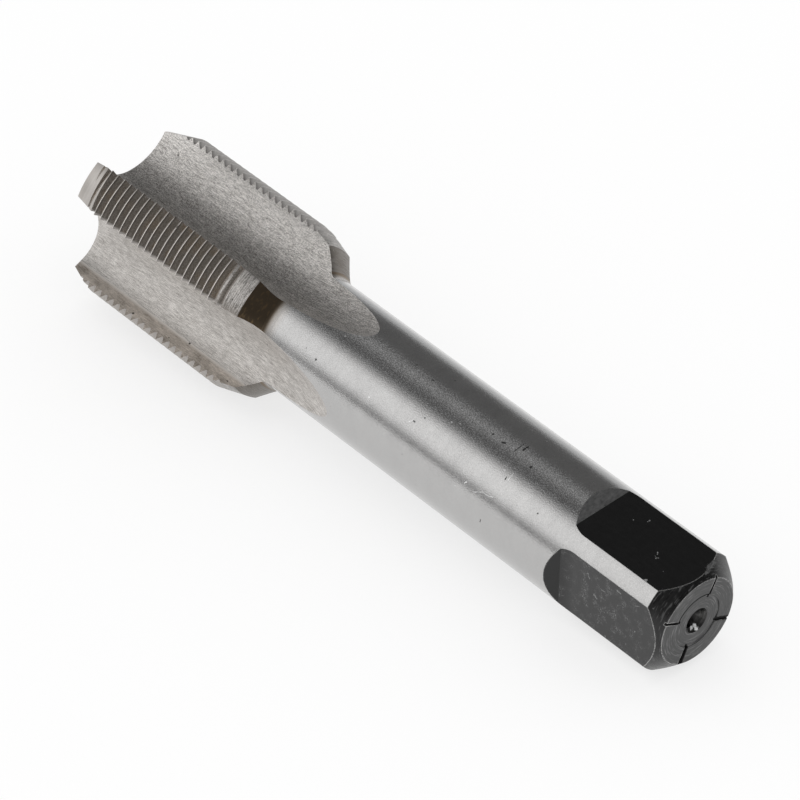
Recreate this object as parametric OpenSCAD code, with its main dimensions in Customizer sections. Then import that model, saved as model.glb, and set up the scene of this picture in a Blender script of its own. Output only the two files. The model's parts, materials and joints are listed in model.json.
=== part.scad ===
// Hand tap, right-hand thread M30 x 1.5, four straight flutes and a square drive end.
// The axis lies along X. The origin is the centre of the square end's face, the cutting end
// points to +X, and the square's flats face Y and Z.

/* [Overall] */
// Length from the square end's face to the tip
overall_len = 127; // [120:0.5:140]

/* [Thread] */
// Major diameter of the thread
thread_d = 30; // [29:0.1:31]
// Pitch of the thread
pitch = 1.5; // [1:0.25:2]
// Angle between the two flanks of a groove
flank_angle = 60; // [55:1:60]
// Length of the threaded head, from the tip to its rear edge
head_len = 38.6; // [34:0.1:42]
// Distance from the tip to the first crest line, seen along +Y
crest_phase = 0.2; // [0:0.05:1]

/* [Cutting end] */
// Diameter at the tip, where the lead chamfer starts
tip_d = 26.6; // [25:0.1:27.5]
// Half angle of the lead chamfer's cone
lead_angle = 18; // [14:1:24]
// Sideways shift of the chamfer's axis, so that each land falls away behind its cutting edge
lead_relief = 1.2; // [0.6:0.1:1.5]
// Length of the plain bevel at the head's rear
rear_bevel_len = 5.1; // [3.5:0.1:7]
// Diameter of the head's rear edge
rear_edge_d = 27.1; // [26:0.1:28.5]

/* [Flutes] */
// Diameter of the core left between the flutes
core_d = 13.6; // [13:0.1:14.4]
// Radius of the flute's wide side, on the heel of the land in front
heel_r = 9; // [8.6:0.1:9.4]
// Radius of the flute's steep side, under the cutting face
throat_r = 6.3; // [6:0.1:6.6]
// Slope of the straight cutting face in the flute's section
face_angle = 66.6; // [64:0.2:69]
// Sideways place of the flute's deepest line
flute_shift = 0.2; // [0.1:0.1:0.5]
// Length from the tip to where the flutes have run out on the shank
flute_len = 57.8; // [54:0.1:62]
// Radius of the wheel that the flutes run out with
wheel_r = 80; // [70:1:90]

/* [Shoulder] */
// Slope of the cone that leads from the head's rear edge down to the shank
shoulder_angle = 45; // [38:1:55]
// Radius of the fillet between that cone and the shank
shoulder_fillet_r = 2; // [1:0.1:3]

/* [Shank and square] */
// Diameter of the ground shank
shank_d = 20; // [19.6:0.1:20.4]
// Size of the square across its flats
square_af = 16; // [15.6:0.1:16.6]
// Length of the flats, from the end face
square_len = 19.7; // [16:0.1:24]
// Slope of the run-out at the front of each flat
runout_angle = 42; // [30:1:60]
// Length of the 45 degree chamfer round the end face
end_chamfer = 2.65; // [2.2:0.05:2.9]

/* [Centres and end face] */
// Mouth diameter of the 60 degree centre in the square end
centre_d = 4.3; // [3.6:0.1:5]
// Pilot diameter under that centre
pilot_d = 2; // [1.6:0.1:2.5]
// Mouth diameter of the 60 degree centre in the tip
tip_centre_d = 5.3; // [4.2:0.1:6.5]
// Pilot diameter under the tip's centre
tip_pilot_d = 2.5; // [2:0.1:3.1]
// Depth of each pilot hole below its cone
pilot_depth = 3; // [1:0.5:6]
// Diameter of the shallow turned recess round the square end's centre
recess_d = 9; // [7:0.1:11]
// Depth of the shallow recess
recess_depth = 0.15; // [0.05:0.01:0.4]
// Width of the marks that the lathe's driver left in the end face
mark_w = 0.4; // [0.2:0.05:0.8]
// Depth of the driver marks
mark_depth = 0.3; // [0.1:0.05:0.6]
// Turn of the first driver mark from +Y
mark_turn = 28; // [5:1:85]

/* [Hidden] */
$fn = 96;
TAP_COLOUR = [0.62, 0.61, 0.6];

// Four flutes, four flats and four driver marks share one spacing
count = 4;
turn = 360 / count;

thread_r = thread_d / 2;
shank_r = shank_d / 2;
core_r = core_d / 2;
tip_r = tip_d / 2;
rear_edge_r = rear_edge_d / 2;
half_square = square_af / 2;
recess_r = recess_d / 2;

// How far cutters reach past what they cut
over = 0.5;
reach = thread_r + 2;

// Thread form: flat crests, slightly wider flat roots, and straight flanks between them
crest_flat = pitch / 8;
root_flat = pitch / 6;
thread_depth = (pitch - crest_flat - root_flat) / 2 / tan(flank_angle / 2);
root_r = thread_r - thread_depth;
helix_angle = atan(pitch / (PI * (thread_d - thread_depth)));

// Places along the axis
head_rear_x = overall_len - head_len;
bevel_front_x = head_rear_x + rear_bevel_len;

// The cone and the shank would meet at shoulder_foot_x. The fillet touches both of them, each
// one fillet_reach away from there.
shoulder_foot_x = head_rear_x - (rear_edge_r - shank_r) / tan(shoulder_angle);
fillet_reach = shoulder_fillet_r * tan(shoulder_angle / 2);
fillet_x = shoulder_foot_x - fillet_reach;
cone_foot_x = shoulder_foot_x + fillet_reach * cos(shoulder_angle);
cone_foot_r = shank_r + fillet_reach * sin(shoulder_angle);

// The last groove still cuts where the bevel is higher than the groove's bottom
bevel_slope = (thread_r - rear_edge_r) / rear_bevel_len;
last_groove_x = bevel_front_x - thread_depth / bevel_slope + root_flat / 2;

// Flute section, with u across and v outward: the steep side's arc ends where the straight
// cutting face touches it
heel_v = core_r + heel_r;
throat_v = core_r + throat_r;
face_u = flute_shift + throat_r * sin(face_angle);
face_v = throat_v - throat_r * cos(face_angle);
face_len = (reach - face_v) / sin(face_angle);

// The wheel leaves the full depth at wheel_x and comes out of the shank at flute_end_x
flute_end_x = overall_len - flute_len;
runout_depth = shank_r - core_r;
wheel_x = flute_end_x + sqrt(2 * wheel_r * runout_depth - pow(runout_depth, 2));
wheel_sweep = acos(1 - (runout_depth + over) / wheel_r);

// Where the thread's outer circle meets the heel's arc and the cutting face, as angles from +Y
// for the flute that faces +Z
heel_mid = norm([flute_shift, heel_v]);
heel_turn = acos((pow(thread_r, 2) + pow(heel_mid, 2) - pow(heel_r, 2)) / (2 * thread_r * heel_mid));
heel_angle = atan2(heel_v, flute_shift) + heel_turn;
face_offset = face_u * sin(face_angle) - face_v * cos(face_angle);
cutting_angle = face_angle - asin(face_offset / thread_r);

// Middle of the land between the flute that faces +Z and the flute that faces +Y
land_mid = (cutting_angle + heel_angle - turn) / 2;

// Cutters that work on one land end in the middle of the flutes beside it
land_sector = 70;

// Turns what is drawn along Z to lie along X, with its X along Y
module along_x() {
    rotate([90, 0, 90]) children();
}

// Turned blank: chamfered shank, filleted shoulder, and head with its rear bevel
module blank() {
    along_x() rotate_extrude()
        difference() {
            polygon([
                [0, 0],
                [shank_r - end_chamfer, 0],
                [shank_r, end_chamfer],
                [shank_r, fillet_x],
                [cone_foot_r, cone_foot_x],
                [rear_edge_r, head_rear_x],
                [thread_r, bevel_front_x],
                [thread_r, overall_len],
                [0, overall_len]
            ]);
            translate([shank_r + shoulder_fillet_r, fillet_x]) circle(r = shoulder_fillet_r);
        }
}

// Flute section: a wide arc on the heel side, a tighter arc and a straight face on the cutting side
module flute_section() {
    intersection() {
        translate([flute_shift, heel_v]) circle(r = heel_r);
        translate([flute_shift - heel_r, core_r - over]) square([heel_r, 2 * heel_r]);
    }
    translate([flute_shift, throat_v]) circle(r = throat_r);
    polygon([
        [flute_shift, throat_v],
        [face_u, face_v],
        [face_u + face_len * cos(face_angle), reach],
        [flute_shift, reach]
    ]);
}

// One flute facing +Z: straight through the head, then lifted out of the shank by the wheel
module flute() {
    along_x()
        translate([0, 0, wheel_x])
            linear_extrude(overall_len - wheel_x + over) flute_section();
    translate([wheel_x, 0, core_r + wheel_r])
        rotate([-90, 0, 0])
            rotate([0, 0, 90])
                rotate_extrude(angle = wheel_sweep)
                    translate([core_r + wheel_r, 0])
                        rotate(90) flute_section();
}

// One thread groove on one land, tilted to the helix about the land's own radial line
module groove(x, mid) {
    half_root = root_flat / 2;
    clear = crest_flat / 2;
    half_mouth = half_root + (thread_depth + clear) * tan(flank_angle / 2);
    translate([x, 0, 0])
        rotate(a = helix_angle, v = [0, cos(mid), sin(mid)])
            along_x()
                rotate_extrude(angle = land_sector, start = mid - land_sector / 2)
                    polygon([
                        [root_r, -half_root],
                        [root_r, half_root],
                        [thread_r + clear, half_mouth],
                        [thread_r + clear, -half_mouth]
                    ]);
}

// All the grooves of one land. A turn of the helix moves them by one pitch.
module land_grooves(mid) {
    first = overall_len - crest_phase + pitch * (mid / 360 + 0.5);
    grooves = ceil(head_len / pitch) + 1;
    for (i = [0 : grooves])
        if (first - i * pitch > last_groove_x)
            groove(first - i * pitch, mid);
}

// Cuts one land down to the lead chamfer, which drops away behind the cutting edge
module lead_cut(mid) {
    along_x()
        translate([-lead_relief * sin(mid), lead_relief * cos(mid), overall_len])
            rotate_extrude(angle = land_sector, start = mid - land_sector / 2)
                polygon([
                    [tip_r - over * tan(lead_angle), over],
                    [reach + over, over],
                    [reach + over, -(reach + over - tip_r) / tan(lead_angle)]
                ]);
}

// Cuts one flat of the square, facing +Z, with its sloped run-out
module flat_cut() {
    rise = shank_r - half_square + over;
    translate([0, shank_r + over, 0])
        rotate([90, 0, 0])
            linear_extrude(2 * (shank_r + over))
                polygon([
                    [-over, half_square],
                    [square_len, half_square],
                    [square_len + rise / tan(runout_angle), half_square + rise],
                    [-over, half_square + rise]
                ]);
}

// A 60 degree centre with its pilot hole, drilled toward +X from the face at x = 0
module centre_hole(mouth_d, hole_d) {
    cone_len = (mouth_d - hole_d) / 2 / tan(30);
    along_x() rotate_extrude()
        polygon([
            [0, -over],
            [mouth_d / 2 + over * tan(30), -over],
            [hole_d / 2, cone_len],
            [hole_d / 2, cone_len + pilot_depth],
            [0, cone_len + pilot_depth + hole_d / 2 * tan(30)]
        ]);
}

// Shallow turned recess round the centre, and the driver marks from it to the chamfer
module end_face_cuts() {
    along_x() translate([0, 0, -over]) cylinder(r = recess_r, h = over + recess_depth);
    for (i = [0 : count - 1])
        rotate([mark_turn + i * turn, 0, 0])
            translate([-over, recess_r - over, -mark_w / 2])
                cube([over + mark_depth, shank_r - recess_r, mark_w]);
}

module tap() {
    color(TAP_COLOUR)
        difference() {
            blank();
            for (i = [0 : count - 1]) {
                rotate([i * turn, 0, 0]) flute();
                rotate([i * turn, 0, 0]) flat_cut();
                land_grooves(land_mid + i * turn);
                lead_cut(land_mid + i * turn);
            }
            translate([recess_depth, 0, 0]) centre_hole(centre_d, pilot_d);
            translate([overall_len, 0, 0]) mirror([1, 0, 0]) centre_hole(tip_centre_d, tip_pilot_d);
            end_face_cuts();
        }
}

tap();
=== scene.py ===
import json
import math

import bmesh
import bpy
import numpy as np
from mathutils import Matrix, Vector

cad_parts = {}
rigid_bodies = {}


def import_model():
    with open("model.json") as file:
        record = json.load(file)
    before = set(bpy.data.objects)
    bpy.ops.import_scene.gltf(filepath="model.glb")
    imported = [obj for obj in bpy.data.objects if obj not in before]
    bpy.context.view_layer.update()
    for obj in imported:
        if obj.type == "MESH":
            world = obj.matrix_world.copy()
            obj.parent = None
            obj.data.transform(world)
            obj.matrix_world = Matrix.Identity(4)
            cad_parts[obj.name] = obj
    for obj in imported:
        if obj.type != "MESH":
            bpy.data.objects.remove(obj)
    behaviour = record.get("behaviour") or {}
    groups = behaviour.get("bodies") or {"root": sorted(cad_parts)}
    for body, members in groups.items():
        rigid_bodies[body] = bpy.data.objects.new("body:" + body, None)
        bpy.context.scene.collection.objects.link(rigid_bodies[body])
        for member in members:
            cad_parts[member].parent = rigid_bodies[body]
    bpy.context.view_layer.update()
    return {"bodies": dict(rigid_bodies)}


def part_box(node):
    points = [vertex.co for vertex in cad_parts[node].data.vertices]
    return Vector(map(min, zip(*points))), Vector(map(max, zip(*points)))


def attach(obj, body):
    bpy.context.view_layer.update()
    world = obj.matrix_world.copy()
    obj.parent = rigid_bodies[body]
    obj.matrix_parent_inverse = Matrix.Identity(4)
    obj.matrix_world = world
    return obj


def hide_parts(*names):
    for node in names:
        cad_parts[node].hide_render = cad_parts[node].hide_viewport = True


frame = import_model()
BODY = next(iter(frame["bodies"]))
NODE = "tap"

# The tap's sizes, in millimetres, and angles in degrees. X runs along the axis to the tip.
MM = 0.001
OVERALL_LEN = (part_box(NODE)[1].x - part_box(NODE)[0].x) / MM
THREAD_R = 15.0
PITCH = 1.5
HALF_FLANK = 30.0
HEAD_LEN = 38.6
CREST_PHASE = 0.2
TIP_R = 13.3
LEAD_ANGLE = 18.0
LEAD_RELIEF = 1.2
REAR_BEVEL_LEN = 5.1
REAR_EDGE_R = 13.55
CORE_R = 6.8
HEEL_R = 9.0
THROAT_R = 6.3
FACE_ANGLE = 66.6
FLUTE_SHIFT = 0.2
FLUTE_LEN = 57.8
WHEEL_R = 80.0
SHOULDER_ANGLE = 45.0
SHOULDER_FILLET_R = 2.0
SHANK_R = 10.0
HALF_SQUARE = 8.0
SQUARE_LEN = 19.7
RUNOUT_ANGLE = 42.0
FLAT_RISE_LEN = 2.0
FLAT_RISE_R = 8.0
END_CHAMFER = 2.65
CENTRE_R = 2.15
PILOT_R = 1.0
TIP_CENTRE_R = 2.65
TIP_PILOT_R = 1.25
PILOT_DEPTH = 3.0
CENTRE_HALF_ANGLE = 30.0
RECESS_R = 4.5
RECESS_DEPTH = 0.15
MARK_W = 0.4
MARK_DEPTH = 0.3
MARK_TURN = 28.0
COUNT = 4
TURN = 360.0 / COUNT
LAND_SECTOR = 70.0

# How far cutters reach past what they cut, and outward
OVER = 0.5
REACH = THREAD_R + 2.0

# Crests half as wide as the standard's, as in the photograph, and roots wider by as much
CREST_FLAT = PITCH / 16
ROOT_FLAT = PITCH * 11 / 48

# Worked out from the sizes above
TAN_FLANK = math.tan(math.radians(HALF_FLANK))
THREAD_DEPTH = (PITCH - CREST_FLAT - ROOT_FLAT) / 2 / TAN_FLANK
ROOT_R = THREAD_R - THREAD_DEPTH
HEAD_REAR_X = OVERALL_LEN - HEAD_LEN
BEVEL_FRONT_X = HEAD_REAR_X + REAR_BEVEL_LEN
SHOULDER_FOOT_X = HEAD_REAR_X - (REAR_EDGE_R - SHANK_R) / math.tan(math.radians(SHOULDER_ANGLE))
FILLET_X = SHOULDER_FOOT_X - SHOULDER_FILLET_R * math.tan(math.radians(SHOULDER_ANGLE / 2))
FILLET_MID_R = SHANK_R + SHOULDER_FILLET_R
BEVEL_SLOPE = (THREAD_R - REAR_EDGE_R) / REAR_BEVEL_LEN
LAST_GROOVE_X = BEVEL_FRONT_X - THREAD_DEPTH / BEVEL_SLOPE + ROOT_FLAT / 2
HEEL_V = CORE_R + HEEL_R
THROAT_V = CORE_R + THROAT_R
SIN_FACE = math.sin(math.radians(FACE_ANGLE))
COS_FACE = math.cos(math.radians(FACE_ANGLE))
FACE_U = FLUTE_SHIFT + THROAT_R * SIN_FACE
FACE_V = THROAT_V - THROAT_R * COS_FACE
TAN_CENTRE = math.tan(math.radians(CENTRE_HALF_ANGLE))
FLUTE_END_X = OVERALL_LEN - FLUTE_LEN
RUNOUT_DEPTH = SHANK_R - CORE_R
FLAT_RISE_X = SQUARE_LEN - FLAT_RISE_LEN
FLAT_RISE_Z = HALF_SQUARE + FLAT_RISE_R
SIN_RUNOUT = math.sin(math.radians(RUNOUT_ANGLE))
COS_RUNOUT = math.cos(math.radians(RUNOUT_ANGLE))
TAN_RUNOUT = math.tan(math.radians(RUNOUT_ANGLE))
RISE_OFF = FLAT_RISE_LEN * SIN_RUNOUT + FLAT_RISE_R * COS_RUNOUT
RISE_TURN = RUNOUT_ANGLE - math.degrees(math.acos(RISE_OFF / FLAT_RISE_R))
WHEEL_X = FLUTE_END_X + math.sqrt(2 * WHEEL_R * RUNOUT_DEPTH - RUNOUT_DEPTH ** 2)
WHEEL_V = CORE_R + WHEEL_R
WHEEL_SWEEP = math.acos(1 - (RUNOUT_DEPTH + OVER) / WHEEL_R)


def land_edges():
    """The angles from +Y, in degrees, of the edges of the land between the +Y and the +Z flute."""
    mid_r = math.hypot(FLUTE_SHIFT, HEEL_V)
    cos_turn = (THREAD_R ** 2 + mid_r ** 2 - HEEL_R ** 2) / (2 * THREAD_R * mid_r)
    heel = math.degrees(math.atan2(HEEL_V, FLUTE_SHIFT) + math.acos(cos_turn))
    offset = FACE_U * SIN_FACE - FACE_V * COS_FACE
    cutting = FACE_ANGLE - math.degrees(math.asin(offset / THREAD_R))
    return heel - TURN, cutting


LAND_HEEL, LAND_CUTTING = land_edges()
LAND_MID = (LAND_HEEL + LAND_CUTTING) / 2
LEAD_Y = -LEAD_RELIEF * math.sin(math.radians(LAND_MID))
LEAD_Z = LEAD_RELIEF * math.cos(math.radians(LAND_MID))
LEAD_SLOPE = math.tan(math.radians(LEAD_ANGLE))

# Fineness of the round surfaces: steps in a whole turn, a flute's lift-out and a land's lead
ROUND_STEPS = 256
WHEEL_STEPS = 72
SECTOR_STEPS = 56
# Fineness of the arcs, in degrees to a step
ARC_STEP = 2.5
FILLET_STEP = 7.5

# Points this near to each other become one, in millimetres
MERGE_DIST = 1e-5


def arc(centre, radius, start, end, step=ARC_STEP):
    """Points along an arc, in degrees, both ends included."""
    count = max(2, math.ceil(abs(end - start) / step) + 1)
    turns = np.radians(np.linspace(start, end, count))
    return [(centre[0] + radius * math.cos(a), centre[1] + radius * math.sin(a)) for a in turns]


def turned(profile, angle, axis=(0.0, 0.0)):
    """The (x, r) points of a profile, turned about an axis along X by an angle in radians."""
    across = math.cos(angle), math.sin(angle)
    return [(x, axis[0] + r * across[0], axis[1] + r * across[1]) for x, r in profile]


def loft(name, rings, loop=False):
    """A closed solid through rings of equal length, with a face at both ends unless they form a loop."""
    size = len(rings[0])
    points = [p for ring in rings for p in ring]
    spans = len(rings) if loop else len(rings) - 1
    faces = []
    for i in range(spans):
        a, b = i * size, (i + 1) % len(rings) * size
        faces += [(a + j, a + (j + 1) % size, b + (j + 1) % size, b + j) for j in range(size)]
    if not loop:
        faces += [tuple(range(size))[::-1], tuple(range(len(points) - size, len(points)))]
    mesh = bpy.data.meshes.new(name)
    mesh.from_pydata(points, [], faces)
    close_up(mesh)
    solid = bpy.data.objects.new(name, mesh)
    bpy.context.collection.objects.link(solid)
    return solid


def close_up(mesh):
    """Merges the points that meet on the axis and turns all faces outward."""
    work = bmesh.new()
    work.from_mesh(mesh)
    bmesh.ops.remove_doubles(work, verts=work.verts, dist=MERGE_DIST)
    bmesh.ops.recalc_face_normals(work, faces=work.faces)
    work.to_mesh(mesh)
    work.free()


def revolved(name, profile):
    """A solid of revolution about X from an (x, r) profile."""
    angles = np.linspace(0, 2 * math.pi, ROUND_STEPS, endpoint=False)
    return loft(name, [turned(profile, a) for a in angles], loop=True)


def blank():
    """The turned blank: chamfered shank, filleted shoulder, and head with its rear bevel."""
    fillet = arc((FILLET_X, FILLET_MID_R), SHOULDER_FILLET_R, -90, SHOULDER_ANGLE - 90, FILLET_STEP)
    return revolved(NODE + "_blank", [
        (0, 0),
        (0, SHANK_R - END_CHAMFER),
        (END_CHAMFER, SHANK_R),
        *fillet,
        (HEAD_REAR_X, REAR_EDGE_R),
        (BEVEL_FRONT_X, THREAD_R),
        (OVERALL_LEN, THREAD_R),
        (OVERALL_LEN, 0),
    ])


def thread_groove():
    """One helical groove from beyond the tip to where the bevel drops below the groove's bottom."""
    half_root = ROOT_FLAT / 2
    clear = CREST_FLAT / 2
    half_mouth = half_root + (THREAD_DEPTH + clear) * TAN_FLANK
    profile = [
        (-half_root, ROOT_R),
        (half_root, ROOT_R),
        (half_mouth, THREAD_R + clear),
        (-half_mouth, THREAD_R + clear),
    ]
    start_x = OVERALL_LEN - CREST_PHASE + PITCH / 2 + PITCH
    steps = math.floor((start_x - LAST_GROOVE_X) / PITCH * ROUND_STEPS)
    rings = []
    for i in range(steps + 1):
        share = i / ROUND_STEPS
        moved = [(start_x - share * PITCH + x, r) for x, r in profile]
        rings.append(turned(moved, -2 * math.pi * share))
    return loft("thread_groove", rings)


def flute_section():
    """The flute's outline, u across and v outward: wide heel side, tighter throat, straight cutting face."""
    top_v = REACH
    face_len = (top_v - FACE_V) / SIN_FACE
    throat = arc((FLUTE_SHIFT, THROAT_V), THROAT_R, -90, FACE_ANGLE - 90)
    heel_start = 180 - math.degrees(math.asin((top_v - HEEL_V) / HEEL_R))
    heel = arc((FLUTE_SHIFT, HEEL_V), HEEL_R, heel_start, 270)
    corner = [(FACE_U + face_len * COS_FACE, top_v)]
    return throat + corner + heel[:-1]


def flute(index):
    """One flute, straight through the head and lifted out of the shank by the grinding wheel."""
    section = flute_section()
    rings = [[(OVERALL_LEN + OVER, u, v) for u, v in section]]
    for turn in np.linspace(0, WHEEL_SWEEP, WHEEL_STEPS):
        rings.append([
            (WHEEL_X - math.sin(turn) * (WHEEL_V - v), u, WHEEL_V - math.cos(turn) * (WHEEL_V - v))
            for u, v in section
        ])
    return about_x(loft("flute", rings), index * TURN)


def lead_cut(index):
    """Takes one land down to the lead chamfer, whose axis is shifted so that the land falls away."""
    profile = [
        (OVERALL_LEN + OVER, TIP_R - OVER * LEAD_SLOPE),
        (OVERALL_LEN + OVER, REACH + OVER),
        (OVERALL_LEN - (REACH + OVER - TIP_R) / LEAD_SLOPE, REACH + OVER),
    ]
    angles = np.radians(np.linspace(LAND_MID - LAND_SECTOR / 2, LAND_MID + LAND_SECTOR / 2, SECTOR_STEPS))
    rings = [turned(profile, a, axis=(LEAD_Y, LEAD_Z)) for a in angles]
    return about_x(loft("lead_cut", rings), index * TURN)


def flat_cut(index):
    """One flat of the square, which rises a little before its sloped run-out."""
    rise = SHANK_R - HALF_SQUARE + OVER
    outline = [
        (-OVER, HALF_SQUARE),
        *arc((FLAT_RISE_X, FLAT_RISE_Z), FLAT_RISE_R, -90, RISE_TURN - 90),
        (SQUARE_LEN + rise / TAN_RUNOUT, HALF_SQUARE + rise),
        (-OVER, HALF_SQUARE + rise),
    ]
    side = SHANK_R + OVER
    rings = [[(x, y, z) for x, z in outline] for y in (-side, side)]
    return about_x(loft("flat_cut", rings), index * TURN)


def centre_hole(name, face_x, inward, mouth_r, hole_r):
    """A 60 degree centre and its pilot hole with a 120 degree point, drilled from face_x along inward."""
    cone_len = (mouth_r - hole_r) / TAN_CENTRE
    profile = [
        (-OVER, 0),
        (-OVER, mouth_r + OVER * TAN_CENTRE),
        (cone_len, hole_r),
        (cone_len + PILOT_DEPTH, hole_r),
        (cone_len + PILOT_DEPTH + hole_r * TAN_CENTRE, 0),
    ]
    return revolved(name, [(face_x + inward * x, r) for x, r in profile])


def end_recess():
    """The shallow turned recess round the square end's centre."""
    return revolved("recess", [(-OVER, 0), (-OVER, RECESS_R), (RECESS_DEPTH, RECESS_R), (RECESS_DEPTH, 0)])


def driver_mark(index):
    """One mark that the lathe's driver pressed into the end face."""
    low, high = RECESS_R - OVER, SHANK_R
    half = MARK_W / 2
    rings = [
        [(x, low, -half), (x, high, -half), (x, high, half), (x, low, half)]
        for x in (-OVER, MARK_DEPTH)
    ]
    return about_x(loft("driver_mark", rings), MARK_TURN + index * TURN)


def about_x(solid, degrees):
    """Turns a solid's mesh about the tap's axis."""
    solid.data.transform(Matrix.Rotation(math.radians(degrees), 4, "X"))
    return solid


def cut(body, tool):
    """Subtracts a cutter from the body and deletes it."""
    step = body.modifiers.new("cut", "BOOLEAN")
    step.operation = "DIFFERENCE"
    step.solver = "MANIFOLD"
    step.object = tool
    depsgraph = bpy.context.evaluated_depsgraph_get()
    result = bpy.data.meshes.new_from_object(body.evaluated_get(depsgraph))
    body.modifiers.remove(step)
    old = body.data
    body.data = result
    bpy.data.meshes.remove(old)
    bpy.data.meshes.remove(tool.data)


def tap_solid():
    """The whole tap, cut from its blank."""
    body = blank()
    cutters = [thread_groove()]
    cutters += [make(i) for make in (flute, lead_cut, flat_cut, driver_mark) for i in range(COUNT)]
    cutters += [
        end_recess(),
        centre_hole("square_centre", RECESS_DEPTH, 1, CENTRE_R, PILOT_R),
        centre_hole("tip_centre", OVERALL_LEN, -1, TIP_CENTRE_R, TIP_PILOT_R),
    ]
    for tool in cutters:
        cut(body, tool)
    return body


# What each surface of the tap is, for its finish and its exact normals

def turned_face(a, b, axis=(0.0, 0.0)):
    """How far points lie off what the line through a and b, both (x, r), sweeps about an axis along X."""
    length = math.hypot(b[0] - a[0], b[1] - a[1])
    along, across = (b[0] - a[0]) / length, (b[1] - a[1]) / length
    return lambda x, y, z: (np.hypot(y - axis[0], z - axis[1]) - a[1]) * along - (x - a[0]) * across


def cylinder(radius):
    return turned_face((0.0, radius), (1.0, radius))


def end_plane(place):
    return turned_face((place, 0.0), (place, 1.0))


def thread_flank(side):
    """How far points lie off the groove's flank towards the tip, with side 1, or away from it, with -1."""
    def gap(x, y, z):
        turn = np.arctan2(z, y) / (2 * math.pi)
        along = x - (OVERALL_LEN - CREST_PHASE) - PITCH * (turn + 0.5)
        along = along - PITCH * np.round(along / PITCH)
        height = np.hypot(y, z) - ROOT_R
        return (side * along - ROOT_FLAT / 2 - height * TAN_FLANK) * math.cos(math.radians(HALF_FLANK))
    return gap


def flute_outward(x, z):
    """The height above the axis in a flute's section, which the wheel bends where the flute runs out."""
    return np.where(x < WHEEL_X, WHEEL_V - np.hypot(x - WHEEL_X, z - WHEEL_V), z)


def flute_arc(centre_v, radius):
    return lambda x, y, z: np.hypot(y - FLUTE_SHIFT, flute_outward(x, z) - centre_v) - radius


def cutting_face(x, y, z):
    return (y - FACE_U) * SIN_FACE - (flute_outward(x, z) - FACE_V) * COS_FACE


def shoulder_foot(x, y, z):
    return SHOULDER_FILLET_R - np.hypot(x - FILLET_X, np.hypot(y, z) - FILLET_MID_R)


def flat_rise(x, y, z):
    return FLAT_RISE_R - np.hypot(x - FLAT_RISE_X, z - FLAT_RISE_Z)


def runout(x, y, z):
    return (z - HALF_SQUARE) * COS_RUNOUT - (x - SQUARE_LEN) * SIN_RUNOUT


def centre_cone(face_x, inward, mouth_r):
    return turned_face((face_x, mouth_r), (face_x + inward * mouth_r / TAN_CENTRE, 0.0))


def turned_about_x(gap, degrees):
    """The same surface, turned about the tap's axis."""
    c, s = math.cos(math.radians(degrees)), math.sin(math.radians(degrees))
    return lambda x, y, z: gap(x, c * y + s * z, c * z - s * y)


def surfaces():
    """Every surface as (finish, gap), where gap gives points' distances from it."""
    single = [
        ("ground", cylinder(SHANK_R)),
        ("crest", cylinder(THREAD_R)),
        ("thread", cylinder(ROOT_R)),
        ("thread", thread_flank(1)),
        ("thread", thread_flank(-1)),
        ("turned", turned_face((HEAD_REAR_X, REAR_EDGE_R), (BEVEL_FRONT_X, THREAD_R))),
        ("shoulder", turned_face((SHOULDER_FOOT_X, SHANK_R), (HEAD_REAR_X, REAR_EDGE_R))),
        ("fillet", shoulder_foot),
        ("tip", end_plane(OVERALL_LEN)),
        ("chamfer", turned_face((0, SHANK_R - END_CHAMFER), (END_CHAMFER, SHANK_R))),
        ("end", end_plane(0)),
        ("end", end_plane(RECESS_DEPTH)),
        ("end", cylinder(RECESS_R)),
        ("bore", centre_cone(RECESS_DEPTH, 1, CENTRE_R)),
        ("bore", cylinder(PILOT_R)),
        ("bore", centre_cone(OVERALL_LEN, -1, TIP_CENTRE_R)),
        ("bore", cylinder(TIP_PILOT_R)),
    ]
    lead_rear = (OVERALL_LEN - 1, TIP_R + LEAD_SLOPE)
    # These lie at the top or on the land beside it, and are repeated round the axis
    repeated = [
        ("flute", flute_arc(HEEL_V, HEEL_R)),
        ("flute", flute_arc(THROAT_V, THROAT_R)),
        ("cutting", cutting_face),
        ("lead", turned_face(lead_rear, (OVERALL_LEN, TIP_R), axis=(LEAD_Y, LEAD_Z))),
        ("flat", lambda x, y, z: z - HALF_SQUARE),
        ("flat", flat_rise),
        ("runout", runout),
    ]
    around = [(name, turned_about_x(gap, i * TURN)) for name, gap in repeated for i in range(COUNT)]
    return single + around


# A face lies on a surface if its corners and its centre are this near, in millimetres
NEAR = 0.012
# How much a surface that faces another way counts against it, in millimetres
MISALIGNED = 0.02
# How far apart two gaps are measured for a slope, in millimetres, and what keeps its length above zero
SLOPE_STEP = 1e-4
TINY = 1e-12


def slopes(gap, points):
    """Unit normals of a surface at points beside it."""
    steps = SLOPE_STEP * np.eye(3)
    found = np.stack([gap(*(points + step).T) - gap(*(points - step).T) for step in steps], axis=1)
    return found / np.maximum(np.linalg.norm(found, axis=1, keepdims=True), TINY)


def read(collection, name, width, kind=np.float32):
    """A property of all of a mesh's points, corners or faces."""
    values = np.zeros(len(collection) * width, kind)
    collection.foreach_get(name, values)
    return values.reshape(-1, width) if width > 1 else values


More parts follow.
